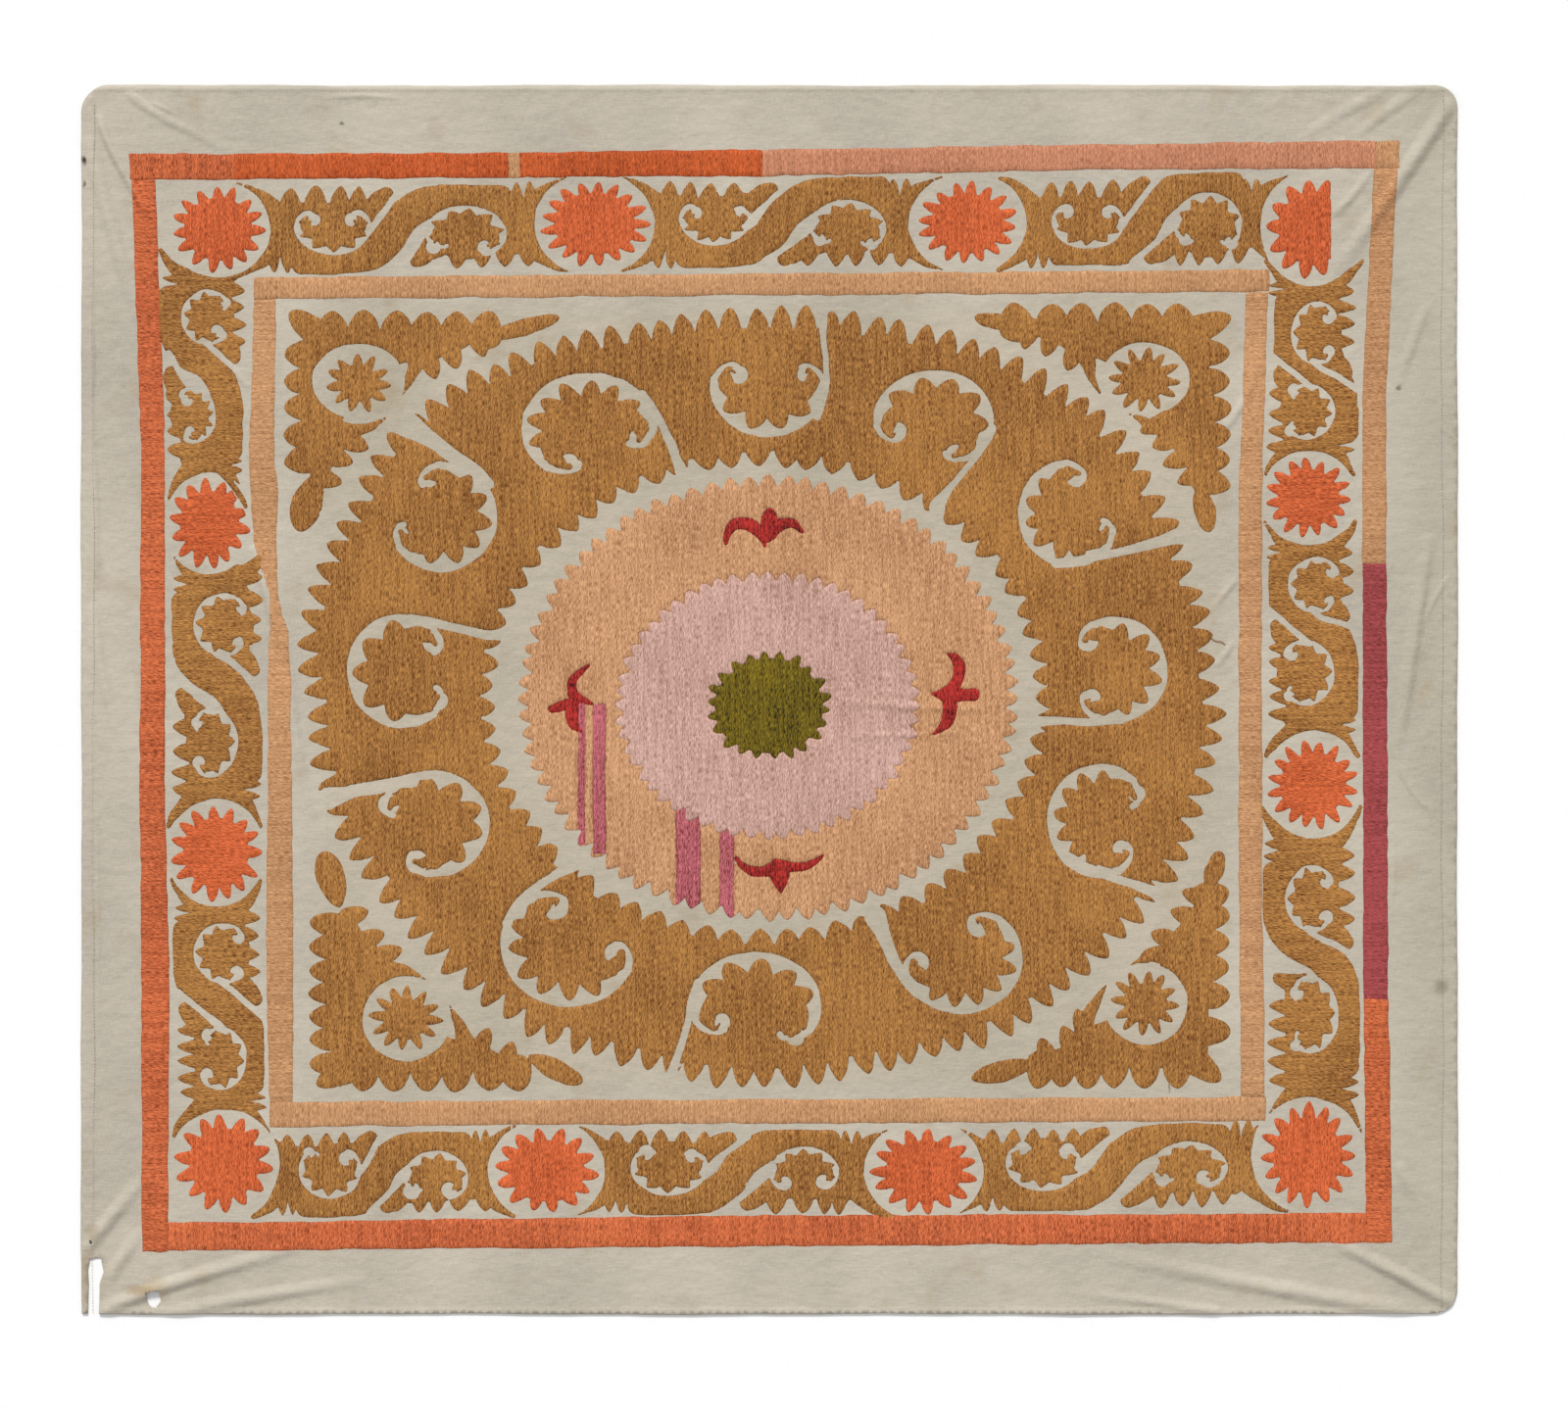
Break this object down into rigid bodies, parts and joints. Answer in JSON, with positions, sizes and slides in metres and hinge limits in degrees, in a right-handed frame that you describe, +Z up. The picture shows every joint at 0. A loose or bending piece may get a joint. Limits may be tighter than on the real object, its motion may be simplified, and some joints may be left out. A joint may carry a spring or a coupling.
{
  "type": "suzani embroidered textile",
  "caption": "Large embroidered cotton hanging laid flat: round toothed medallion, leaf ring, corner sprays, scrolling border with suns, two frame stripes, turned hems and pull folds.",
  "frame": {"origin": "middle of the cloth's footprint, at floor level", "axes": "+X along the longer sides, towards the right of the picture; +Y towards the picture's top edge; +Z up from the floor, out of the embroidered face"},
  "size_m": [2.108, 1.883, 0.0094],
  "materials": {
    "cotton": "matt hand-woven",
    "brown_silk": "couched silk, soft sheen",
    "red_silk": "couched silk, soft sheen",
    "peach_silk": "couched silk, soft sheen",
    "pink_silk": "couched silk, soft sheen",
    "green_silk": "couched silk, soft sheen"
  },
  "bodies": {
    "root": {"ground_cloth": "cotton"}
  },
  "joints": []
}
